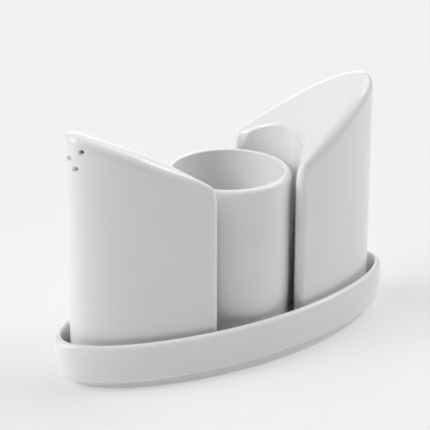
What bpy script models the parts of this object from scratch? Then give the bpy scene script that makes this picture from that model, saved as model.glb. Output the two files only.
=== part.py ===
"""Salt and pepper shakers that stand on an oval tray, one on each side of a toothpick holder.

Everything is glazed porcelain except the two soft stoppers under the shakers.
Metres, +Z up. The origin is on the table, under the middle of the tray. +X runs along the
tray, from the salt shaker to the pepper shaker, and -Y is the front.
"""

import math

import bmesh
import bpy
from mathutils import Matrix, Vector

# Gap kept between pieces that touch
GAP = 0.0003

# Toothpick holder: a straight cup near the middle of the tray
CUP_RADIUS = 0.0215
CUP_SHIFT = 0.0012
CUP_HEIGHT = 0.0563
CUP_WALL = 0.0025
CUP_FLOOR = 0.0040
CUP_FOOT_INSET = 0.0014
CUP_FOOT_WIDTH = 0.0030
CUP_FOOT_DEPTH = 0.0012
CUP_FLOOR_ROUND = 0.0060

# Tray: an oval dish with a low straight rim
TRAY_LENGTH = 0.1328
TRAY_HEIGHT = 0.0167
TRAY_WALL = 0.0028
TRAY_FLOOR = 0.0032
TRAY_TAPER = 0.0009
TRAY_RIM_ROUND = 0.0017
TRAY_LIP_ROUND = 0.0009
TRAY_EDGE_ROUND = 0.0008
TRAY_FLOOR_ROUND = 0.0008
TRAY_FOOT_HEIGHT = 0.0030
TRAY_FOOT_END_INSET = 0.0052
TRAY_FOOT_SIDE_INSET = 0.0011
TRAY_FOOT_WIDTH = 0.0040
TRAY_SHOULDER = 0.10
CUP_TO_TRAY = 0.0021

# Shakers: half an oval in plan, with a slanted top and a round notch that faces the cup
SHAKER_PEAK = 0.0822
SHAKER_LOW = 0.0590
SHAKER_DOME = 0.0020
SHAKER_SHOULDER = 0.16
SHAKER_WALL = 0.0028
SHAKER_ROOF = 0.0034
SHAKER_FLOOR = 0.0040
SHAKER_END_GAP = 0.0033
SHAKER_SIDE_GAP = 0.0012
SHAKER_BASE_ROUND = 0.0012
NOTCH_SHIFT = 0.0082
HORN_TO_CUP = 0.0027
HORN_RADIUS = 0.0022
CAVITY_HORN_RADIUS = 0.0015

# How far the top edge is rounded, inwards and down, at each part of the outline
END_ROUND = (0.0050, 0.0050)
SIDE_ROUND = (0.0034, 0.0034)
HORN_ROUND = (0.0018, 0.0046)
NOTCH_ROUND = (0.0012, 0.0012)
HORN_BLEND = 0.30
NOTCH_BLEND = 0.18

# Pouring holes, each at its distance from the middle plane and its depth under the peak
HOLE_RADIUS = 0.00115
SALT_HOLES = ((-0.0055, 0.0064), (-0.0011, 0.0092), (-0.0036, 0.0123))
PEPPER_HOLES = ((-0.0022, 0.0092), (0.0022, 0.0092))

# Filling hole in each base, and the soft stopper that closes it
FILL_RADIUS = 0.0072
FLANGE_RADIUS = 0.0090
FLANGE_THICK = 0.0012
FLANGE_RECESS = 0.0018
PLUG_LENGTH = 0.0068
PLUG_WALL = 0.0012
PLUG_WAIST = 0.0005
RIB_RISE = 0.0010
LOW_RIB_SHARE = 0.36
HIGH_RIB_SHARE = 0.80
PULL_DEPTH = 0.0036
PULL_BAR_WIDTH = 0.0018
PULL_BAR_DEPTH = 0.0024

# Mesh fineness
TRAY_STEPS = 72
CUP_STEPS = 56
ARC_STEPS = 34
CAVITY_STEPS = 18
TIP_STEPS = 3
ROUND_STEPS = 4
EDGE_STEPS = 2
PLUG_STEPS = 32
HOLE_STEPS = 12

# How much further a cutter reaches than the wall it cuts, as a share of the wall
OVERCUT = 0.4

# Places worked out from the sizes above
TRAY_HALF_LENGTH = TRAY_LENGTH / 2
TRAY_HALF_WIDTH = CUP_RADIUS + CUP_TO_TRAY + TRAY_WALL
FLOOR_Z = TRAY_FOOT_HEIGHT + TRAY_FLOOR
BASE_Z = FLOOR_Z + GAP
SHAKER_END = TRAY_HALF_LENGTH - TRAY_WALL - SHAKER_END_GAP
SHAKER_SIDE = TRAY_HALF_WIDTH - TRAY_WALL - SHAKER_SIDE_GAP


def oval_point(half_length, half_width, shoulder, angle):
    """A point of an ellipse whose shoulders are drawn in, and the outward normal there."""
    cosine = math.cos(angle)
    sine = math.sin(angle)
    point = Vector((half_length * cosine, half_width * sine * (1 - shoulder * cosine ** 2)))
    run = -half_length * sine
    rise = half_width * cosine * (1 - shoulder * cosine ** 2 + 2 * shoulder * sine ** 2)
    return point, Vector((rise, -run)).normalized()


def oval(half_length, half_width, shoulder, steps, z):
    """A closed level ring along an oval."""
    points = [oval_point(half_length, half_width, shoulder, 2 * math.pi * i / steps)[0] for i in range(steps)]
    return [Vector((p.x, p.y, z)) for p in points]


def circle(radius, steps, z):
    """A closed level ring along a circle, with no corner on the X or Y axis."""
    turns = [2 * math.pi * (i + 0.5) / steps for i in range(steps)]
    return [Vector((radius * math.cos(a), radius * math.sin(a), z)) for a in turns]


def quarter(steps):
    """The (inwards, upwards) shares of a quarter round that starts upright and ends level."""
    angles = [math.pi / 2 * i / steps for i in range(steps + 1)]
    return [(1 - math.cos(a), math.sin(a)) for a in angles]


def smooth(share):
    """Ease from 0 to 1."""
    share = min(max(share, 0.0), 1.0)
    return share * share * (3 - 2 * share)


def material(name, colour, roughness):
    made = bpy.data.materials.new(name)
    made.use_nodes = True
    shader = made.node_tree.nodes["Principled BSDF"]
    shader.inputs["Base Color"].default_value = (*colour, 1)
    shader.inputs["Roughness"].default_value = roughness
    shader.inputs["Metallic"].default_value = 0
    return made


def porcelain(name):
    return material(name, (0.86, 0.86, 0.85), 0.08)


def silicone(name):
    return material(name, (0.80, 0.80, 0.78), 0.55)


def add_object(name, bm, finish=None):
    """Turn a bmesh into a named object, smooth except at its sharp edges."""
    mesh = bpy.data.meshes.new(name)
    bm.to_mesh(mesh)
    bm.free()
    mesh.shade_smooth()
    mesh.set_sharp_from_angle(angle=math.radians(40))
    made = bpy.data.objects.new(name, mesh)
    bpy.context.collection.objects.link(made)
    if finish:
        mesh.materials.append(finish)
    return made


def stack(bm, rings):
    """Join rings of equal count into a wall, and return their vertices. The first ring is the lowest."""
    rows = [[bm.verts.new(point) for point in ring] for ring in rings]
    count = len(rows[0])
    for low, high in zip(rows, rows[1:]):
        for i in range(count):
            j = (i + 1) % count
            bm.faces.new((low[i], low[j], high[j], high[i]))
    return rows


def close_flat(bm, row, upwards):
    """Close a ring with one flat face."""
    bm.faces.new(row if upwards else row[::-1])


def close_across(bm, row, upwards):
    """Close a crescent's ring with a strip that joins its outer side to its notch side."""
    count = len(row)
    half = count // 2
    for i in range(half):
        face = [row[i], row[i + 1], row[count - i - 1], row[(count - i) % count]]
        face = list(dict.fromkeys(face))
        if len(face) > 2:
            bm.faces.new(face if upwards else face[::-1])


def cutter(name, bm):
    """An object that only cuts."""
    made = add_object(name, bm)
    made.hide_render = True
    made.display_type = "WIRE"
    return made


def cut(target, tool, operation="DIFFERENCE"):
    step = target.modifiers.new(tool.name, "BOOLEAN")
    step.operation = operation
    step.solver = "EXACT"
    step.object = tool


def rod(name, radius, low, high, steps):
    """A cutting cylinder along Z at the origin."""
    bm = bmesh.new()
    rows = stack(bm, [circle(radius, steps, low), circle(radius, steps, high)])
    close_flat(bm, rows[0], False)
    close_flat(bm, rows[-1], True)
    return cutter(name, bm)


def make_tray():
    """Oval dish: foot ring, tapered wall, rounded rim and flat floor."""
    rings = []
    for inwards, z in ((1, TRAY_FOOT_HEIGHT), (1, 0), (0, 0), (0, TRAY_FOOT_HEIGHT)):
        inset = TRAY_TAPER + TRAY_FOOT_WIDTH * inwards
        half_length = TRAY_HALF_LENGTH - inset - TRAY_FOOT_END_INSET
        half_width = TRAY_HALF_WIDTH - inset - TRAY_FOOT_SIDE_INSET
        rings.append(oval(half_length, half_width, TRAY_SHOULDER, TRAY_STEPS, z))
    profile = []
    edge = TRAY_EDGE_ROUND
    for inwards, upwards in reversed(quarter(EDGE_STEPS)):
        profile.append((TRAY_TAPER + edge * inwards, TRAY_FOOT_HEIGHT + edge * (1 - upwards)))
    rim = TRAY_RIM_ROUND
    for inwards, upwards in quarter(ROUND_STEPS):
        profile.append((rim * inwards, TRAY_HEIGHT - rim * (1 - upwards)))
    lip = TRAY_LIP_ROUND
    for inwards, upwards in reversed(quarter(ROUND_STEPS - 1)):
        profile.append((TRAY_WALL - lip * inwards, TRAY_HEIGHT - lip * (1 - upwards)))
    sweep = TRAY_FLOOR_ROUND
    for inwards, upwards in quarter(EDGE_STEPS):
        profile.append((TRAY_WALL + sweep * inwards, FLOOR_Z + sweep * (1 - upwards)))
    bm = bmesh.new()
    for inset, z in profile:
        rings.append(oval(TRAY_HALF_LENGTH - inset, TRAY_HALF_WIDTH - inset, TRAY_SHOULDER, TRAY_STEPS, z))
    rows = stack(bm, rings)
    close_flat(bm, rows[0], False)
    close_flat(bm, rows[-1], True)
    return add_object("tray", bm, porcelain("tray_porcelain"))


def make_cup():
    """Straight-walled cup with a foot ring and a rounded rim."""
    bottom = BASE_Z
    top = BASE_Z + CUP_HEIGHT
    foot_out = CUP_RADIUS - CUP_FOOT_INSET
    foot_in = foot_out - CUP_FOOT_WIDTH
    inside = CUP_RADIUS - CUP_WALL
    profile = [(foot_in, bottom + CUP_FOOT_DEPTH), (foot_in, bottom), (foot_out, bottom)]
    for inwards, upwards in reversed(quarter(EDGE_STEPS)[:-1]):
        profile.append((CUP_RADIUS - CUP_FOOT_INSET * inwards, bottom + CUP_FOOT_INSET * (1 - upwards)))
    half = CUP_WALL / 2
    for step in range(2 * ROUND_STEPS + 1):
        angle = math.pi * step / (2 * ROUND_STEPS)
        profile.append((CUP_RADIUS - half * (1 - math.cos(angle)), top - half * (1 - math.sin(angle))))
    for inwards, upwards in quarter(ROUND_STEPS):
        sweep = CUP_FLOOR_ROUND
        profile.append((inside - sweep * inwards, bottom + CUP_FLOOR + sweep * (1 - upwards)))
    bm = bmesh.new()
    rows = stack(bm, [circle(radius, CUP_STEPS, z) for radius, z in profile])
    close_flat(bm, rows[0], False)
    close_flat(bm, rows[-1], True)
    cup = add_object("toothpick_holder", bm, porcelain("cup_porcelain"))
    cup.location.x = CUP_SHIFT
    return cup


def angle_at_distance(end, side, from_x, distance):
    """The angle at which an oval is at the given distance from a point on the X axis."""
    low = 0.0
    high = math.pi / 2
    for _ in range(50):
        middle = (low + high) / 2
        point = oval_point(end, side, SHAKER_SHOULDER, middle)[0]
        if (point - Vector((from_x, 0))).length > distance:
            low = middle
        else:
            high = middle
    return low


def horn_centre():
    """Centre of the back horn's round end: it clears the cup and touches the shaker's outer side."""
    end = SHAKER_END - HORN_RADIUS
    side = SHAKER_SIDE - HORN_RADIUS
    angle = angle_at_distance(end, side, 0, CUP_RADIUS + HORN_TO_CUP + HORN_RADIUS)
    return oval_point(end, side, SHAKER_SHOULDER, angle)[0]


HORN = horn_centre()
HORN_TIP_X = HORN.x - HORN_RADIUS
NOTCH_HUB = Vector((NOTCH_SHIFT, 0))
NOTCH_RADIUS = (HORN - NOTCH_HUB).length - HORN_RADIUS
FILL_X = (NOTCH_SHIFT + NOTCH_RADIUS + SHAKER_END) / 2


def mirrored(entry):
    """The same outline entry on the other side of the middle plane."""
    point, normal, side, share = entry
    return Vector((point.x, -point.y)), Vector((normal.x, -normal.y)), side, share


def round_points(centre, radius, from_turn, to_turn, steps, side):
    """Outline entries on a horn's round end, without the last one."""
    entries = []
    for i in range(steps):
        turn = from_turn + (to_turn - from_turn) * i / steps
        normal = Vector((math.cos(turn), math.sin(turn)))
        entries.append((centre + radius * normal, normal, side, 0.0))
    return entries


def crescent(inset, tip_radius, steps):
    """Plan of the pepper shaker, drawn in by inset, as (point, outward normal, side, share) entries.

    It runs anticlockwise from the front horn's tip: round the outer side, over the back horn's tip
    and back along the notch. Share runs from 0 at a horn to 1 in the middle of the side.
    """
    end = SHAKER_END - inset - tip_radius
    side = SHAKER_SIDE - inset - tip_radius
    notch = NOTCH_RADIUS + inset
    widest = angle_at_distance(end, side, NOTCH_SHIFT, notch + tip_radius)
    tip, tip_normal = oval_point(end, side, SHAKER_SHOULDER, widest)
    outer_turn = math.atan2(tip_normal.y, tip_normal.x)
    notch_start = math.atan2(tip.y - NOTCH_HUB.y, tip.x - NOTCH_HUB.x)
    inner_turn = notch_start + math.pi
    tip_turn = (outer_turn + inner_turn) / 2
    half = steps // 2
    outer = round_points(tip, tip_radius, tip_turn, outer_turn, TIP_STEPS, "outer")
    for i in range(half + 1):
        share = i / half
        point, normal = oval_point(end, side, SHAKER_SHOULDER, widest * (1 - share))
        outer.append((point + tip_radius * normal, normal, "outer", share))
    inner = round_points(tip, tip_radius, tip_turn, inner_turn, TIP_STEPS, "notch")[1:]
    for i in range(half + 1):
        share = i / half
        turn = notch_start * (1 - share)
        away = Vector((math.cos(turn), math.sin(turn)))
        inner.append((NOTCH_HUB + notch * away, -away, "notch", share))
    outline = [mirrored(entry) for entry in outer] + outer[-2::-1]
    outline += inner + [mirrored(entry) for entry in inner[-2::-1]]
    return outline


def top_height(x):
    """Height of the slanted, slightly domed top over the shaker's base."""
    share = (x - HORN_TIP_X) / (SHAKER_END - HORN_TIP_X)
    return SHAKER_LOW + (SHAKER_PEAK - SHAKER_LOW) * share + 4 * SHAKER_DOME * share * (1 - share)


def edge_round(side, share):
    """How far the top edge is rounded, inwards and down, at a place on the outline."""
    if side == "notch":
        ease = smooth(share / NOTCH_BLEND)
        return [a + (b - a) * ease for a, b in zip(HORN_ROUND, NOTCH_ROUND)]
    ease = smooth(share / HORN_BLEND)
    near = [a + (b - a) * ease for a, b in zip(HORN_ROUND, SIDE_ROUND)]
    ease = smooth((share - HORN_BLEND) / (1 - HORN_BLEND))
    return [a + (b - a) * ease for a, b in zip(near, END_ROUND)]


def shaker_body():
    """The pepper shaker's outside: flat base, upright wall and a slanted top with soft edges."""
    outline = crescent(0, HORN_RADIUS, ARC_STEPS)
    rings = []
    for inwards, upwards in reversed(quarter(EDGE_STEPS)):
        drawn = [(p - n * SHAKER_BASE_ROUND * inwards) for p, n, _, _ in outline]
        rings.append([Vector((p.x, p.y, SHAKER_BASE_ROUND * (1 - upwards))) for p in drawn])
    for inwards, upwards in quarter(ROUND_STEPS):
        ring = []
        for point, normal, side, share in outline:
            across, down = edge_round(side, share)
            place = point - normal * across * inwards
            ring.append(Vector((place.x, place.y, top_height(place.x) - down * (1 - upwards))))
        rings.append(ring)
    bm = bmesh.new()
    rows = stack(bm, rings)
    close_across(bm, rows[0], False)
    close_across(bm, rows[-1], True)
    return bm


def shaker_cavity():
    """The hollow inside the pepper shaker."""
    outline = crescent(SHAKER_WALL, CAVITY_HORN_RADIUS, CAVITY_STEPS)
    floor = [Vector((p.x, p.y, SHAKER_FLOOR)) for p, _, _, _ in outline]
    roof = [Vector((p.x, p.y, top_height(p.x) - SHAKER_ROOF)) for p, _, _, _ in outline]
    bm = bmesh.new()
    rows = stack(bm, [floor, roof])
    close_across(bm, rows[0], False)
    close_across(bm, rows[-1], True)
    return bm


def flip_over(bm):
    """Turn the pepper shaker's shape into the salt shaker's."""
    bmesh.ops.scale(bm, vec=(-1, 1, 1), verts=bm.verts)
    bmesh.ops.reverse_faces(bm, faces=bm.faces)


def wall_point(y):
    """The point and the outward normal of the shaker's outer end at a distance y from its middle plane."""
    end = SHAKER_END - HORN_RADIUS
    side = SHAKER_SIDE - HORN_RADIUS
    low = -math.pi / 4
    high = math.pi / 4
    for _ in range(50):
        middle = (low + high) / 2
        point, normal = oval_point(end, side, SHAKER_SHOULDER, middle)
        if (point + HORN_RADIUS * normal).y < y:
            low = middle
        else:
            high = middle
    return point + HORN_RADIUS * normal, normal


def make_shaker(name, direction, holes):
    """A hollow shaker. Direction is 1 for the pepper shaker at +X and -1 for the salt shaker at -X."""
    outside = shaker_body()
    inside = shaker_cavity()
    if direction < 0:
        flip_over(outside)
        flip_over(inside)
    shaker = add_object(name, outside, porcelain(name + "_porcelain"))
    hollow = cutter(name + "_hollow", inside)
    below = -SHAKER_FLOOR
    fill = rod(name + "_fill", FILL_RADIUS, below, SHAKER_FLOOR * (1 + OVERCUT), PLUG_STEPS)
    recess = rod(name + "_recess", FLANGE_RADIUS + GAP, below, FLANGE_RECESS, PLUG_STEPS)
    tools = [hollow, fill, recess]
    for index, (y, depth) in enumerate(holes):
        point, normal = wall_point(y)
        reach = SHAKER_WALL * (1 + OVERCUT)
        tool = rod(f"{name}_hole_{index}", HOLE_RADIUS, -reach, SHAKER_WALL, HOLE_STEPS)
        outward = Vector((direction * normal.x, normal.y, 0))
        tool.rotation_euler = outward.to_track_quat("Z", "Y").to_euler()
        tool.location = (direction * point.x, point.y, SHAKER_PEAK - depth)
        tools.append(tool)
    stand = Vector((direction * FILL_X, 0, BASE_Z))
    shaker.data.transform(Matrix.Translation((-stand.x, 0, 0)))
    shaker.location = stand
    for tool in tools:
        shift = Vector((0, 0, BASE_Z))
        if tool in (fill, recess):
            shift.x = stand.x
        tool.location += shift
        cut(shaker, tool)
    return shaker


def make_stopper(name, shaker):
    """Soft plug with a flange, a waist between two ribs, and a bar to pull it out by."""
    plug = FILL_RADIUS - GAP
    pull = plug - PLUG_WALL
    profile = [(pull, PULL_DEPTH), (pull, 0), (FLANGE_RADIUS, 0), (FLANGE_RADIUS, FLANGE_THICK)]
    profile.append((plug - PLUG_WAIST, FLANGE_THICK))
    for share in (LOW_RIB_SHARE, HIGH_RIB_SHARE):
        middle = PLUG_LENGTH * share
        profile.append((plug - PLUG_WAIST, middle - RIB_RISE))
        profile.append((plug, middle))
        profile.append((plug - PLUG_WAIST, middle + RIB_RISE))
    profile.append((plug - 2 * PLUG_WAIST, PLUG_LENGTH))
    bm = bmesh.new()
    rows = stack(bm, [circle(radius, PLUG_STEPS, z) for radius, z in profile])
    close_flat(bm, rows[0], False)
    close_flat(bm, rows[-1], True)
    stopper = add_object(name, bm, silicone(name + "_silicone"))
    bar = bmesh.new()
    bmesh.ops.create_cube(bar, size=1)
    size = Vector((2 * pull + PLUG_WALL, PULL_BAR_WIDTH, PULL_BAR_DEPTH))
    bmesh.ops.scale(bar, vec=size, verts=bar.verts)
    bmesh.ops.translate(bar, vec=(0, 0, PULL_DEPTH + GAP - size.z / 2), verts=bar.verts)
    bar_tool = cutter(name + "_bar", bar)
    place = shaker.location + Vector((0, 0, GAP))
    for made in (stopper, bar_tool):
        made.location = place
    cut(stopper, bar_tool, "UNION")
    return stopper


def clear_scene():
    for old in list(bpy.data.objects):
        bpy.data.objects.remove(old, do_unlink=True)


def main():
    clear_scene()
    make_tray()
    make_cup()
    salt = make_shaker("salt_shaker_body", -1, SALT_HOLES)
    pepper = make_shaker("pepper_shaker_body", 1, PEPPER_HOLES)
    make_stopper("salt_stopper", salt)
    make_stopper("pepper_stopper", pepper)


main()
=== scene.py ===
"""Finished looks of the porcelain salt and pepper set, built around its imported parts.

Metres, +Z up. +X runs along the tray, from the salt shaker to the pepper shaker, and -Y is
the front.
"""

import math

import bmesh
import bpy
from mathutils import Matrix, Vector


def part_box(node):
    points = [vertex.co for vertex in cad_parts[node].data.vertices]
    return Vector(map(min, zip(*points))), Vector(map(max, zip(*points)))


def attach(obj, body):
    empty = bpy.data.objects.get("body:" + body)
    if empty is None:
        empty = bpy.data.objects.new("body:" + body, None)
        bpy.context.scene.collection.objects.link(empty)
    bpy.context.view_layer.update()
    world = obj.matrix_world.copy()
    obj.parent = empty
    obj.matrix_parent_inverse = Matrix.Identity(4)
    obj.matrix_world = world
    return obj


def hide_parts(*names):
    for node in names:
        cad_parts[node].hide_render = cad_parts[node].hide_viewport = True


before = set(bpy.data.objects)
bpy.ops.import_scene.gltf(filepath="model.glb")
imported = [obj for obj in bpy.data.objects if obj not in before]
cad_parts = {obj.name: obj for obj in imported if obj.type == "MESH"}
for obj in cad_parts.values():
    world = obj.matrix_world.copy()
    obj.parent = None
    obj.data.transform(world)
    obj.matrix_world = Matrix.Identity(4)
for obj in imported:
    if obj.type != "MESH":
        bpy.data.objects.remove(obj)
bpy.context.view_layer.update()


def span(node):
    """A node's lowest corner, highest corner and size."""
    low, high = (Vector(corner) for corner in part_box(node))
    return low, high, high - low


_, TRAY_HIGH, TRAY_SIZE = span("tray")
CUP_LOW, CUP_HIGH, _ = span("toothpick_holder")
SHAKER_LOW_CORNER, SHAKER_HIGH_CORNER, _ = span("pepper_shaker_body")
PLUG_LOW, PLUG_HIGH, PLUG_SIZE = span("pepper_stopper")

# Tray
TRAY_HALF_LENGTH = TRAY_SIZE.x / 2
TRAY_HALF_WIDTH = TRAY_SIZE.y / 2
TRAY_SHOULDER = 0.10
TRAY_WALL = 0.0028
TRAY_TAPER = 0.0009
TRAY_FLOOR_LEVEL = 0.0062
TRAY_FOOT_HEIGHT = 0.0030
TRAY_FOOT_END_INSET = 0.0052
TRAY_FOOT_SIDE_INSET = 0.0011
TRAY_FOOT_WIDTH = 0.0040
TRAY_FOOT_ROUND = 0.0005
TRAY_EDGE_ROUND = 0.0014
TRAY_RIM_ROUND = 0.0019
TRAY_RIM_FALL = 0.0030
TRAY_LIP_ROUND = 0.0009
TRAY_SWEEP = 0.0008
TRAY_STEPS = 256

# Cup
CUP_RADIUS = 0.0215
CUP_X = (CUP_LOW.x + CUP_HIGH.x) / 2
CUP_WALL = 0.0025
CUP_FLOOR = 0.0040
CUP_SWEEP = 0.0060
CUP_FOOT_INSET = 0.0014
CUP_FOOT_WIDTH = 0.0030
CUP_FOOT_DEPTH = 0.0012
CUP_LIP_FALL = 0.0024
CUP_LIP_ROUND = 0.0006
CUP_STEPS = 160

# Shakers, with heights counted from their bases
BASE_LEVEL = SHAKER_LOW_CORNER.z
SHAKER_END = SHAKER_HIGH_CORNER.x
SHAKER_SIDE_GAP = 0.0012
SHAKER_SIDE = TRAY_HALF_WIDTH - TRAY_WALL - SHAKER_SIDE_GAP
SHAKER_SHOULDER = 0.16
SHAKER_PEAK = 0.0822
SHAKER_LOW = 0.0590
SHAKER_DOME = 0.0020
SHAKER_WALL = 0.0028
SHAKER_ROOF = 0.0034
SHAKER_FLOOR = 0.0040
SHAKER_BASE_ROUND = 0.0012
NOTCH_SHIFT = 0.0082
HORN_TO_CUP = 0.0027
HORN_RADIUS = 0.0022
CAVITY_HORN_RADIUS = 0.0015
GAP = 0.0003

# Top edge rounding, inwards and down, at each part of the outline
END_ROUND = (0.0050, 0.0050)
SIDE_ROUND = (0.0054, 0.0060)
HORN_ROUND = (0.0020, 0.0060)
NOTCH_ROUND = (0.0012, 0.0012)
HORN_BLEND = 0.30
NOTCH_BLEND = 0.18

# Shaker mesh fineness: along the crescent, over a horn's tip, up the wall and round an edge
ALONG = 112
ACROSS = 12
WALL_ROWS = 10
EDGE_ROWS = 7
BASE_ROWS = 3

# Pouring holes, each at its distance from the middle plane and its depth under the peak
HOLE_RADIUS = 0.00065
HOLE_FLARE = 0.00080
HOLE_FLARE_DEPTH = 0.00104
FLARE_ROWS = 6
FLARE_MOUTH = 1.2
HOLE_STEPS = 32
SALT_HOLES = ((-0.0055, 0.0064), (-0.0011, 0.0092), (-0.0036, 0.0123))
PEPPER_HOLES = ((-0.0022, 0.0092), (0.0022, 0.0092))

# Filling hole and its stopper
FILL_RADIUS = 0.0072
FLANGE_RADIUS = PLUG_SIZE.x / 2
FLANGE_THICK = 0.0012
FLANGE_RECESS = 0.0018
RECESS_BEVEL = 0.0003
RECESS_BELOW = 0.0007
FILL_STEPS = 64
PLUG_LENGTH = PLUG_SIZE.z
PLUG_WALL = 0.0012
PLUG_WAIST = 0.0005
PLUG_SOFT_EDGE = 0.0003
RIB_RISE = 0.0010
RIB_PLACES = (0.36, 0.80)
RIB_STEPS = 4
PULL_DEPTH = 0.0036
PULL_BAR_WIDTH = 0.0018
PULL_BAR_DEPTH = 0.0024
PULL_BAR_ROUND = 0.0004
FILL_X = (PLUG_LOW.x + PLUG_HIGH.x) / 2

# How far a drill goes past the wall it cuts, and how often a search halves its range
OVERCUT = 0.4
HALVINGS = 50
DRILL_HALVINGS = 30

# Edges that meet at less than this angle are shaded as one surface
SMOOTH_ANGLE = 40

# What counts as a face that a piece stands on
FACING_DOWN = -0.9
STANDING_DEPTH = 0.0001

# The part of a noise's range that is stretched over a finish's range
NOISE_LOW = 0.3
NOISE_HIGH = 0.7

# Camera, round the object from the front, and where it looks
CAMERA_AZIMUTH = -33.69
CAMERA_ELEVATION = 22.30
CAMERA_DISTANCE = 0.6116
CAMERA_AIM = Vector((0, 0, 0.031))
CAMERA_PAN = Vector((-0.0034, 0.0141))
CAMERA_LENS = 149.16
CAMERA_SENSOR = 36

# Soft lights, each at an azimuth round the object from the front and an elevation, with how
# closely its glow gathers round that direction, and its strength. The last two are narrow and
# bright, and give the glaze its crisp highlights.
SOFT_LIGHTS = (
    (-105, 40, 14, 4.7),
    (90, 40, 14, 2.4),
    (150, 10, 14, 2.2),
    (90, 65, 6, 1.0),
    (60, 40, 14, 0.9),
    (-130, 10, 14, 0.4),
    (-105, 33, 300, 16.0),
    (75, 42, 300, 8.0),
)
TABLE_SIZE = 8
TABLE_COLOUR = 0.50
TABLE_GLOW = 0.36


# ---------------------------------------------------------------- plain shapes


def oval_point(half_length, half_width, shoulder, angle):
    """A point of an ellipse whose shoulders are drawn in, and the outward normal there."""
    cosine = math.cos(angle)
    sine = math.sin(angle)
    point = Vector((half_length * cosine, half_width * sine * (1 - shoulder * cosine ** 2)))
    run = -half_length * sine
    rise = half_width * cosine * (1 - shoulder * cosine ** 2 + 2 * shoulder * sine ** 2)
    return point, Vector((rise, -run)).normalized()


def smooth(share):
    """Ease from 0 to 1."""
    share = min(max(share, 0.0), 1.0)
    return share * share * (3 - 2 * share)


def quarter(steps):
    """The (inwards, upwards) shares of a quarter round that starts upright and ends level."""
    angles = [math.pi / 2 * i / steps for i in range(steps + 1)]
    return [(1 - math.cos(a), math.sin(a)) for a in angles]


def blend(a, b, share):
    return a + (b - a) * share


# ---------------------------------------------------------------- modelling steps


def deselect():
    bpy.ops.object.select_all(action="DESELECT")


def pick(piece):
    """Make a piece the only selected one."""
    deselect()
    piece.select_set(True)
    bpy.context.view_layer.objects.active = piece


def begin(name):
    """Name the primitive that was just added and open it, all selected, in edit mode."""
    piece = bpy.context.object
    piece.name = name
    piece.data.name = name
    bpy.ops.object.mode_set(mode="EDIT")
    bpy.ops.mesh.select_all(action="SELECT")
    return piece


def remember_places(piece, share_of):
    """Store on each vertex where it is along the outline, so that its copies know it too."""
    bm = bmesh.from_edit_mesh(piece.data)
    layer = bm.verts.layers.float_vector.new("share")
    for vertex in bm.verts:
        vertex[layer] = share_of(vertex.co)
    bmesh.update_edit_mesh(piece.data)


def settle(piece, place):
    """Move each selected vertex to the place given for its share of the outline."""
    bm = bmesh.from_edit_mesh(piece.data)
    layer = bm.verts.layers.float_vector["share"]
    for vertex in bm.verts:
        if vertex.select:
            vertex.co = place(vertex[layer])
    bmesh.update_edit_mesh(piece.data)


def lift(piece, place):
    """Extrude the selected face or faces and settle them in their next place."""
    bpy.ops.mesh.extrude_region_move()
    settle(piece, place)


def stack(piece, places):
    """Settle the open faces in the first place and lift them through the others."""
    settle(piece, places[0])
    for place in places[1:]:
        lift(piece, place)


def finish_shape(piece):
    """Turn all faces outwards and leave edit mode."""
    bpy.ops.mesh.select_all(action="SELECT")
    bpy.ops.mesh.remove_doubles(threshold=0.000001)
    bpy.ops.mesh.normals_make_consistent(inside=False)
    bpy.ops.object.mode_set(mode="OBJECT")
    return piece


def turned(name, steps, rings):
    """A closed solid from a filled circle that is lifted through rings.

    Each ring gives a vertex's place from its turn. The first is the underside and the last
    is the innermost face.
    """
    deselect()
    bpy.ops.mesh.primitive_circle_add(vertices=steps, radius=1, fill_type="NGON")
    piece = begin(name)
    remember_places(piece, lambda co: (math.atan2(co.y, co.x), 0, 0))
    stack(piece, rings)
    return finish_shape(piece)


def round_ring(radius, z, centre=(0, 0)):
    """A level circle for turned()."""

    def place(share):
        turn = share[0]
        return Vector((centre[0] + radius * math.cos(turn), centre[1] + radius * math.sin(turn), z))

    return place


def oval_ring(half_length, half_width, z):
    """A level oval for turned()."""

    def place(share):
        point = oval_point(half_length, half_width, TRAY_SHOULDER, share[0])[0]
        return Vector((point.x, point.y, z))

    return place


def apply_step(piece, kind, **settings):
    """Add a modifier with these settings and apply it."""
    pick(piece)
    bpy.ops.object.modifier_add(type=kind)
    step = piece.modifiers[-1]
    for name, value in settings.items():
        setattr(step, name, value)
    bpy.ops.object.modifier_apply(modifier=step.name)


def carve(piece, tool, operation="DIFFERENCE"):
    """Cut a tool out of a piece, or join it on, and remove the tool."""
    apply_step(piece, "BOOLEAN", operation=operation, solver="EXACT", object=tool)
    bpy.data.objects.remove(tool, do_unlink=True)


def soften(piece):
    """Shade smooth across soft edges, and keep the broad faces true."""
    pick(piece)
    bpy.ops.object.shade_smooth_by_angle(angle=math.radians(SMOOTH_ANGLE))
    apply_step(piece, "WEIGHTED_NORMAL", mode="FACE_AREA", keep_sharp=True)


# ---------------------------------------------------------------- shakers


def angle_at_distance(end, side, from_x, distance):
    """The angle at which an oval is at the given distance from a point on the X axis."""
    low = 0.0
    high = math.pi / 2
    for _ in range(HALVINGS):
        middle = (low + high) / 2
        point = oval_point(end, side, SHAKER_SHOULDER, middle)[0]
        if (point - Vector((from_x, 0))).length > distance:
            low = middle
        else:
            high = middle
    return low


def horn_centre():
    """Centre of the back horn's round end: it clears the cup and touches the outer side."""
    end = SHAKER_END - HORN_RADIUS
    side = SHAKER_SIDE - HORN_RADIUS
    angle = angle_at_distance(end, side, 0, CUP_RADIUS + HORN_TO_CUP + HORN_RADIUS)
    return oval_point(end, side, SHAKER_SHOULDER, angle)[0]


HORN = horn_centre()
HORN_TIP_X = HORN.x - HORN_RADIUS
NOTCH_HUB = Vector((NOTCH_SHIFT, 0))
NOTCH_RADIUS = (HORN - NOTCH_HUB).length - HORN_RADIUS


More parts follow.
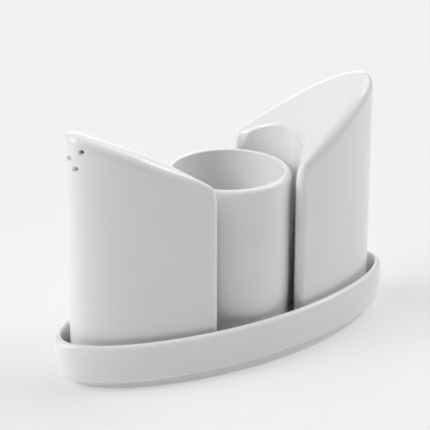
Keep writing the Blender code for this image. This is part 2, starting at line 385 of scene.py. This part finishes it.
def top_height(x):
    """Height of the slanted, slightly domed top over the shaker's base."""
    share = (x - HORN_TIP_X) / (SHAKER_END - HORN_TIP_X)
    return SHAKER_LOW + (SHAKER_PEAK - SHAKER_LOW) * share + 4 * SHAKER_DOME * share * (1 - share)


def edge_round(side, share):
    """How far the top edge is rounded, inwards and down, at a place on the outline."""
    if side == "notch":
        ease = smooth(share / NOTCH_BLEND)
        return [blend(a, b, ease) for a, b in zip(HORN_ROUND, NOTCH_ROUND)]
    ease = smooth(share / HORN_BLEND)
    near = [blend(a, b, ease) for a, b in zip(HORN_ROUND, SIDE_ROUND)]
    ease = smooth((share - HORN_BLEND) / (1 - HORN_BLEND))
    return [blend(a, b, ease) for a, b in zip(near, END_ROUND)]


class Crescent:
    """Plan of the pepper shaker, drawn in by an inset, as a patch between its two long sides."""

    def __init__(self, inset, tip_radius):
        self.tip_radius = tip_radius
        self.end = SHAKER_END - inset - tip_radius
        self.side = SHAKER_SIDE - inset - tip_radius
        self.notch = NOTCH_RADIUS + inset
        reach = self.notch + tip_radius
        self.widest = angle_at_distance(self.end, self.side, NOTCH_SHIFT, reach)
        self.tip, normal = oval_point(self.end, self.side, SHAKER_SHOULDER, self.widest)
        self.outer_turn = math.atan2(normal.y, normal.x)
        self.notch_turn = math.atan2(self.tip.y - NOTCH_HUB.y, self.tip.x - NOTCH_HUB.x)

    def outer(self, along):
        """Point, outward normal and top rounding on the outer side. Along runs from -1 to 1."""
        point, normal = oval_point(self.end, self.side, SHAKER_SHOULDER, self.widest * along)
        return point + self.tip_radius * normal, normal, edge_round("outer", 1 - abs(along))

    def inner(self, along):
        """The same on the notch side."""
        turn = self.notch_turn * along
        away = Vector((math.cos(turn), math.sin(turn)))
        return NOTCH_HUB + self.notch * away, -away, edge_round("notch", 1 - abs(along))

    def horn(self, along, across):
        """The same on a horn's round tip. Across runs from 0 at the notch to 1 outside."""
        turn = blend(self.notch_turn + math.pi, self.outer_turn, across)
        normal = Vector((math.cos(turn), math.sin(turn) * along))
        centre = Vector((self.tip.x, self.tip.y * along))
        return centre + self.tip_radius * normal, normal, HORN_ROUND

    def drawn(self, entry, inwards, fixed):
        """An outline point moved inwards by its share of the rounding there."""
        point, normal, rounding = entry
        return point - normal * (rounding[0] if fixed is None else fixed) * inwards

    def place(self, along, across, inwards, fixed=None):
        """A plan point inside the outline, blended from the four sides of the patch."""
        first = (along + 1) / 2
        near = self.drawn(self.horn(-1, across), inwards, fixed)
        far = self.drawn(self.horn(1, across), inwards, fixed)
        low = self.drawn(self.inner(along), inwards, fixed)
        high = self.drawn(self.outer(along), inwards, fixed)
        corners = [self.drawn(self.horn(a, b), inwards, fixed) for a in (-1, 1) for b in (0, 1)]
        near_corners = blend(corners[0], corners[1], across)
        far_corners = blend(corners[2], corners[3], across)
        sides = blend(low, high, across) + blend(near, far, first)
        return sides - blend(near_corners, far_corners, first)

    def drop(self, along, across):
        """How far the top edge is rounded down at an outline point."""
        on_horn = abs(along) > 0.9999
        if on_horn:
            return HORN_ROUND[1]
        entry = self.outer(along) if across > 0.5 else self.inner(along)
        return entry[2][1]


def crescent_patch(name):
    """A grid primitive whose vertices remember where they are along and across a crescent."""
    deselect()
    bpy.ops.mesh.primitive_grid_add(x_subdivisions=ALONG, y_subdivisions=ACROSS, size=2)
    piece = begin(name)
    remember_places(piece, lambda co: (co.x, (co.y + 1) / 2, 0))
    return piece


def shaker_outside(name):
    """Flat base with a soft edge, upright wall, and a slanted top with a wider soft edge."""
    plan = Crescent(0, HORN_RADIUS)

    def base_place(inwards, upwards):
        def place(share):
            point = plan.place(share[0], share[1], inwards, SHAKER_BASE_ROUND)
            return Vector((point.x, point.y, SHAKER_BASE_ROUND * (1 - upwards)))

        return place

    def wall_place(row):
        def place(share):
            point = plan.place(share[0], share[1], 0)
            eave = top_height(point.x) - plan.drop(share[0], share[1])
            return Vector((point.x, point.y, blend(SHAKER_BASE_ROUND, eave, row / WALL_ROWS)))

        return place

    def edge_place(inwards, upwards):
        def place(share):
            point = plan.place(share[0], share[1], inwards)
            drop = plan.drop(share[0], share[1]) * (1 - upwards)
            return Vector((point.x, point.y, top_height(point.x) - drop))

        return place

    places = [base_place(inwards, upwards) for inwards, upwards in reversed(quarter(BASE_ROWS))]
    places += [wall_place(row) for row in range(1, WALL_ROWS)]
    places += [edge_place(inwards, upwards) for inwards, upwards in quarter(EDGE_ROWS)]
    piece = crescent_patch(name)
    stack(piece, places)
    return finish_shape(piece)


def shaker_hollow(name):
    """The space inside a shaker."""
    plan = Crescent(SHAKER_WALL, CAVITY_HORN_RADIUS)

    def floor_place(share):
        point = plan.place(share[0], share[1], 0)
        return Vector((point.x, point.y, SHAKER_FLOOR))

    def roof_place(share):
        point = plan.place(share[0], share[1], 0)
        return Vector((point.x, point.y, top_height(point.x) - SHAKER_ROOF))

    piece = crescent_patch(name)
    stack(piece, [floor_place, roof_place])
    return finish_shape(piece)


def wall_at(y):
    """X of the shaker's outer end at a distance y from its middle plane, and the normal there."""
    end = SHAKER_END - HORN_RADIUS
    side = SHAKER_SIDE - HORN_RADIUS
    low = -math.pi / 3
    high = math.pi / 3
    for _ in range(HALVINGS):
        middle = (low + high) / 2
        point, normal = oval_point(end, side, SHAKER_SHOULDER, middle)
        if (point + HORN_RADIUS * normal).y < y:
            low = middle
        else:
            high = middle
    return point + HORN_RADIUS * normal, normal


def pouring_drill(name, y, depth):
    """A drill for one pouring hole that flares softly where it leaves the wall."""
    middle, normal = wall_at(y)
    along = Vector((-normal.y, normal.x))
    height = SHAKER_PEAK - depth

    def ring(radius, sink):
        def place(share):
            turn = share[0]
            aside = radius * math.cos(turn)
            low = -SHAKER_WALL
            high = SHAKER_WALL
            for _ in range(DRILL_HALVINGS):
                out = (low + high) / 2
                spot = middle + along * aside + normal * out
                if spot.x > wall_at(spot.y)[0].x:
                    high = out
                else:
                    low = out
            spot = middle + along * aside + normal * (out - sink)
            return Vector((spot.x, spot.y, height + radius * math.sin(turn)))

        return place

    rings = [ring(HOLE_RADIUS, SHAKER_WALL * (1 + OVERCUT))]
    for inwards, upwards in quarter(FLARE_ROWS)[:-2]:
        rings.append(ring(HOLE_RADIUS + HOLE_FLARE * inwards, HOLE_FLARE_DEPTH * (1 - upwards)))
    rings.append(ring(HOLE_RADIUS + HOLE_FLARE * FLARE_MOUTH, -HOLE_FLARE))
    return turned(name, HOLE_STEPS, rings)


def fill_drill(name):
    """A drill for the filling hole and the recess round it, both with soft edges."""
    centre = (FILL_X, 0)
    recess = FLANGE_RADIUS + GAP
    bevel = RECESS_BEVEL
    profile = (
        (recess + bevel + RECESS_BELOW, -RECESS_BELOW),
        (recess, bevel),
        (recess, FLANGE_RECESS),
        (FILL_RADIUS + bevel, FLANGE_RECESS),
        (FILL_RADIUS, FLANGE_RECESS + bevel),
        (FILL_RADIUS, SHAKER_FLOOR * (1 + OVERCUT)),
    )
    return turned(name, FILL_STEPS, [round_ring(radius, z, centre) for radius, z in profile])


def stand_up(piece, direction):
    """Lift a shaker's mesh to its base's level, and for the salt shaker turn it to its side."""
    pick(piece)
    bpy.ops.object.mode_set(mode="EDIT")
    bpy.ops.mesh.select_all(action="SELECT")
    bpy.ops.transform.translate(value=(0, 0, BASE_LEVEL))
    if direction < 0:
        bpy.ops.transform.mirror(
            orient_type="GLOBAL",
            constraint_axis=(True, False, False),
            center_override=(0, 0, 0),
        )
        bpy.ops.mesh.normals_make_consistent(inside=False)
    bpy.ops.object.mode_set(mode="OBJECT")


def make_shaker(name, direction, holes):
    """A hollow shaker. Direction is 1 for the pepper shaker at +X and -1 for the salt shaker."""
    piece = shaker_outside(name)
    carve(piece, shaker_hollow("hollow"))
    carve(piece, fill_drill("fill_drill"))
    for y, depth in holes:
        carve(piece, pouring_drill("pouring_drill", y, depth))
    stand_up(piece, direction)
    soften(piece)
    return piece


# ---------------------------------------------------------------- tray, cup and stoppers


def make_tray():
    """Oval dish: foot ring, tapered wall, rounded rim and flat floor."""
    rings = []
    bend = TRAY_FOOT_ROUND
    knee = bend * 0.3
    for across, z in (
        (TRAY_FOOT_WIDTH, TRAY_FOOT_HEIGHT),
        (TRAY_FOOT_WIDTH, bend),
        (TRAY_FOOT_WIDTH - knee, knee),
        (TRAY_FOOT_WIDTH - bend, 0),
        (bend, 0),
        (knee, knee),
        (0, bend),
        (0, TRAY_FOOT_HEIGHT),
    ):
        inset = TRAY_TAPER + across
        half_length = TRAY_HALF_LENGTH - inset - TRAY_FOOT_END_INSET
        half_width = TRAY_HALF_WIDTH - inset - TRAY_FOOT_SIDE_INSET
        rings.append(oval_ring(half_length, half_width, z))
    profile = []
    for inwards, upwards in reversed(quarter(steps=4)):
        level = TRAY_FOOT_HEIGHT + TRAY_EDGE_ROUND * (1 - upwards)
        profile.append((TRAY_TAPER + TRAY_EDGE_ROUND * inwards, level))
    top = TRAY_HIGH.z
    for inwards, upwards in quarter(steps=8):
        profile.append((TRAY_RIM_ROUND * inwards, top - TRAY_RIM_FALL * (1 - upwards)))
    for inwards, upwards in reversed(quarter(steps=6)):
        profile.append((TRAY_WALL - TRAY_LIP_ROUND * inwards, top - TRAY_LIP_ROUND * (1 - upwards)))
    for inwards, upwards in quarter(steps=4):
        profile.append((TRAY_WALL + TRAY_SWEEP * inwards, TRAY_FLOOR_LEVEL + TRAY_SWEEP * (1 - upwards)))
    for inset, z in profile:
        rings.append(oval_ring(TRAY_HALF_LENGTH - inset, TRAY_HALF_WIDTH - inset, z))
    piece = turned("tray_dish", TRAY_STEPS, rings)
    soften(piece)
    return piece


def make_cup():
    """Straight-walled cup with a foot ring and a rounded rim."""
    bottom = CUP_LOW.z
    top = CUP_HIGH.z
    foot_out = CUP_RADIUS - CUP_FOOT_INSET
    foot_in = foot_out - CUP_FOOT_WIDTH
    inside = CUP_RADIUS - CUP_WALL
    profile = [(foot_in, bottom + CUP_FOOT_DEPTH), (foot_in, bottom), (foot_out, bottom)]
    for inwards, upwards in reversed(quarter(steps=4)[:-1]):
        profile.append((CUP_RADIUS - CUP_FOOT_INSET * inwards, bottom + CUP_FOOT_INSET * (1 - upwards)))
    lip_width = CUP_WALL - CUP_LIP_ROUND
    for inwards, upwards in quarter(steps=10):
        profile.append((CUP_RADIUS - lip_width * inwards, top - CUP_LIP_FALL * (1 - upwards)))
    for inwards, upwards in reversed(quarter(steps=5)[:-1]):
        profile.append((inside + CUP_LIP_ROUND * inwards, top - CUP_LIP_ROUND * (1 - upwards)))
    for inwards, upwards in quarter(steps=8):
        profile.append((inside - CUP_SWEEP * inwards, bottom + CUP_FLOOR + CUP_SWEEP * (1 - upwards)))
    rings = [round_ring(radius, z, (CUP_X, 0)) for radius, z in profile]
    piece = turned("toothpick_cup", CUP_STEPS, rings)
    soften(piece)
    return piece


def make_stopper(name, direction):
    """Soft plug with a flange, a waist between two ribs, and a bar to pull it out by."""
    centre = (direction * FILL_X, 0)
    bottom = PLUG_LOW.z
    plug = FILL_RADIUS - GAP
    pull = plug - PLUG_WALL
    soft = PLUG_SOFT_EDGE
    profile = [(pull, PULL_DEPTH), (pull, soft), (pull + soft, 0), (FLANGE_RADIUS - soft, 0)]
    profile += [(FLANGE_RADIUS, soft), (FLANGE_RADIUS, FLANGE_THICK - soft)]
    profile += [(FLANGE_RADIUS - soft, FLANGE_THICK), (plug - PLUG_WAIST, FLANGE_THICK)]
    waist = PLUG_WAIST
    for rib in RIB_PLACES:
        for step in range(-RIB_STEPS, RIB_STEPS + 1):
            rise = math.cos(math.pi / 2 * step / RIB_STEPS)
            level = PLUG_LENGTH * rib + RIB_RISE * step / RIB_STEPS
            profile.append((plug - waist * (1 - rise), level))
    profile.append((plug - 2 * waist, PLUG_LENGTH - soft))
    profile.append((plug - 2 * waist - soft, PLUG_LENGTH))
    rings = [round_ring(radius, bottom + z, centre) for radius, z in profile]
    piece = turned(name, FILL_STEPS, rings)
    deselect()
    bpy.ops.mesh.primitive_cube_add(size=1)
    bar = begin(name + "_bar")
    bpy.ops.transform.resize(value=(2 * pull + PLUG_WALL, PULL_BAR_WIDTH, PULL_BAR_DEPTH))
    bpy.ops.mesh.bevel(offset=PULL_BAR_ROUND, segments=3, affect="EDGES")
    middle = bottom + PULL_DEPTH + GAP - PULL_BAR_DEPTH / 2
    bpy.ops.transform.translate(value=(centre[0], 0, middle))
    finish_shape(bar)
    carve(piece, bar, "UNION")
    soften(piece)
    return piece


# ---------------------------------------------------------------- materials


class Nodes:
    """Short way to add nodes to a material and link them."""

    def __init__(self, name):
        self.material = bpy.data.materials.new(name)
        self.material.use_nodes = True
        self.tree = self.material.node_tree
        self.shader = self.tree.nodes["Principled BSDF"]

    def add(self, kind, **settings):
        node = self.tree.nodes.new(kind)
        for name, value in settings.items():
            if hasattr(node, name):
                setattr(node, name, value)
            else:
                node.inputs[name.replace("_", " ")].default_value = value
        return node

    def link(self, source, target):
        self.tree.links.new(source, target)

    def noise(self, scale, detail):
        """A noise whose scale is in waves per metre, on the piece's own coordinates."""
        place = self.add("ShaderNodeTexCoord")
        noise = self.add("ShaderNodeTexNoise", Scale=scale, Detail=detail)
        self.link(place.outputs["Object"], noise.inputs["Vector"])
        return noise.outputs["Fac"]

    def spread(self, source, low, high):
        """Map a noise onto a range of values."""
        ramp = self.add("ShaderNodeMapRange")
        ramp.inputs["From Min"].default_value = NOISE_LOW
        ramp.inputs["From Max"].default_value = NOISE_HIGH
        ramp.inputs["To Min"].default_value = low
        ramp.inputs["To Max"].default_value = high
        self.link(source, ramp.inputs["Value"])
        return ramp.outputs["Result"]

    def tint(self, source, low, high):
        """Let the base colour wander between two colours with a noise."""
        mix = self.add("ShaderNodeMix", data_type="RGBA")
        mix.inputs["A"].default_value = (*low, 1)
        mix.inputs["B"].default_value = (*high, 1)
        self.link(self.spread(source, 0, 1), mix.inputs["Factor"])
        self.link(mix.outputs["Result"], self.shader.inputs["Base Color"])

    def bump(self, height, strength, distance, under=None):
        """Raise the surface by a noise, on top of another bump if there is one."""
        node = self.add("ShaderNodeBump")
        node.inputs["Strength"].default_value = strength
        node.inputs["Distance"].default_value = distance
        self.link(height, node.inputs["Height"])
        if under is not None:
            self.link(under, node.inputs["Normal"])
        return node.outputs["Normal"]


def glazed_porcelain():
    """White slip-cast porcelain under a clear glaze that has run very slightly uneven."""
    made = Nodes("glazed_porcelain")
    shader = made.shader
    shader.inputs["IOR"].default_value = 1.5
    shader.inputs["Specular IOR Level"].default_value = 0.4
    shader.inputs["Coat Weight"].default_value = 0.2
    shader.inputs["Coat Roughness"].default_value = 0.04
    shader.inputs["Coat IOR"].default_value = 1.5
    cloud = made.noise(scale=55, detail=3)
    speck = made.noise(scale=900, detail=2)
    made.tint(cloud, (0.885, 0.885, 0.88), (0.91, 0.91, 0.905))
    made.link(made.spread(speck, 0.07, 0.12), shader.inputs["Roughness"])
    run = made.bump(made.noise(scale=70, detail=1), strength=0.35, distance=0.00012)
    peel = made.bump(made.noise(scale=1400, detail=1), strength=0.10, distance=0.00001, under=run)
    made.link(peel, shader.inputs["Normal"])
    return made.material


def bare_porcelain():
    """Unglazed biscuit on the foot rings: matt, fine-grained and a little warmer."""
    made = Nodes("bare_porcelain")
    grain = made.noise(scale=4200, detail=3)
    cloud = made.noise(scale=160, detail=3)
    made.tint(cloud, (0.70, 0.69, 0.665), (0.76, 0.75, 0.73))
    made.link(made.spread(grain, 0.7, 0.9), made.shader.inputs["Roughness"])
    made.link(made.bump(grain, strength=0.5, distance=0.00004), made.shader.inputs["Normal"])
    return made.material


def soft_silicone():
    """Milky moulded silicone with a fine matt skin."""
    made = Nodes("soft_silicone")
    shader = made.shader
    shader.inputs["Subsurface Weight"].default_value = 0.25
    shader.inputs["Subsurface Radius"].default_value = (1, 1, 1)
    shader.inputs["Subsurface Scale"].default_value = 0.0015
    grain = made.noise(scale=2600, detail=2)
    cloud = made.noise(scale=220, detail=2)
    made.tint(cloud, (0.74, 0.745, 0.73), (0.80, 0.80, 0.79))
    made.link(made.spread(grain, 0.42, 0.58), shader.inputs["Roughness"])
    made.link(made.bump(grain, strength=0.3, distance=0.00003), shader.inputs["Normal"])
    return made.material


def paint(piece, finish, foot_finish=None):
    """Give a piece its finish, and another one to the flat faces it stands on."""
    piece.data.materials.clear()
    piece.data.materials.append(finish)
    for face in piece.data.polygons:
        face.material_index = 0
    if foot_finish is None:
        return
    piece.data.materials.append(foot_finish)
    lowest = min(vertex.co.z for vertex in piece.data.vertices)
    for face in piece.data.polygons:
        if face.normal.z < FACING_DOWN and face.center.z < lowest + STANDING_DEPTH:
            face.material_index = 1


# ---------------------------------------------------------------- studio


def make_floor():
    """A wide pale table top."""
    deselect()
    bpy.ops.mesh.primitive_plane_add(size=TABLE_SIZE, location=(0, 0, 0))
    floor = bpy.context.object
    floor.name = "table_top"
    made = Nodes("pale_table")
    made.shader.inputs["Base Color"].default_value = (TABLE_COLOUR, TABLE_COLOUR, TABLE_COLOUR, 1)
    made.shader.inputs["Roughness"].default_value = 0.9
    made.shader.inputs["Specular IOR Level"].default_value = 0.1
    made.shader.inputs["Emission Color"].default_value = (1, 1, 1, 1)
    made.shader.inputs["Emission Strength"].default_value = TABLE_GLOW
    floor.data.materials.append(made.material)


def direction(azimuth, elevation):
    """The unit vector that points from the object to an azimuth and elevation."""
    turn = math.radians(azimuth)
    rise = math.radians(elevation)
    return Vector((math.sin(turn) * math.cos(rise), -math.cos(turn) * math.cos(rise), math.sin(rise)))


def make_light():
    """A dark studio round which broad soft lights stand, all set in the world's own shader."""
    world = bpy.data.worlds.new("studio")
    bpy.context.scene.world = world
    world.use_nodes = True
    tree = world.node_tree
    place = tree.nodes.new("ShaderNodeTexCoord")
    total = None
    for azimuth, elevation, focus, strength in SOFT_LIGHTS:
        facing = tree.nodes.new("ShaderNodeVectorMath")
        facing.operation = "DOT_PRODUCT"
        facing.inputs[1].default_value = direction(azimuth, elevation)
        tree.links.new(place.outputs["Generated"], facing.inputs[0])
        glow = facing.outputs["Value"]
        for operation, value in (("MAXIMUM", 0), ("POWER", focus), ("MULTIPLY", strength)):
            step = tree.nodes.new("ShaderNodeMath")
            step.operation = operation
            step.inputs[1].default_value = value
            tree.links.new(glow, step.inputs[0])
            glow = step.outputs[0]
        if total is not None:
            add = tree.nodes.new("ShaderNodeMath")
            tree.links.new(total, add.inputs[0])
            tree.links.new(glow, add.inputs[1])
            glow = add.outputs[0]
        total = glow
    sky = tree.nodes["Background"]
    sky.inputs["Color"].default_value = (1, 1, 1, 1)
    tree.links.new(total, sky.inputs["Strength"])


def make_camera():
    """A long lens that looks down at the set from the front left."""
    turn = math.radians(CAMERA_AZIMUTH)
    back = direction(CAMERA_AZIMUTH, CAMERA_ELEVATION)
    right = Vector((math.cos(turn), math.sin(turn), 0))
    up = back.cross(right)
    camera = bpy.data.cameras.new("camera")
    camera.sensor_width = CAMERA_SENSOR
    camera.lens = CAMERA_LENS
    camera.clip_start = 0.01
    eye = bpy.data.objects.new("camera", camera)
    eye.location = CAMERA_AIM + back * CAMERA_DISTANCE + right * CAMERA_PAN.x + up * CAMERA_PAN.y
    eye.rotation_euler = back.to_track_quat("Z", "Y").to_euler()
    bpy.context.collection.objects.link(eye)
    bpy.context.scene.camera = eye
    bpy.context.scene.view_settings.view_transform = "Standard"


# ---------------------------------------------------------------- the set


def main():
    porcelain = glazed_porcelain()
    biscuit = bare_porcelain()
    silicone = soft_silicone()
    dish = make_tray()
    cup = make_cup()
    salt = make_shaker("salt_shaker_glazed", -1, SALT_HOLES)
    pepper = make_shaker("pepper_shaker_glazed", 1, PEPPER_HOLES)
    salt_plug = make_stopper("salt_plug", -1)
    pepper_plug = make_stopper("pepper_plug", 1)
    for piece, body, node in (
        (dish, "tray", "tray"),
        (cup, "toothpick_holder", "toothpick_holder"),
        (salt, "salt_shaker", "salt_shaker_body"),
        (pepper, "pepper_shaker", "pepper_shaker_body"),
    ):
        paint(piece, porcelain, biscuit)
        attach(piece, body)
        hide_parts(node)
    for piece, body in ((salt_plug, "salt_stopper"), (pepper_plug, "pepper_stopper")):
        paint(piece, silicone)
        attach(piece, body)
        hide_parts(body)
    make_floor()
    make_light()
    make_camera()
    bpy.context.view_layer.update()


main()
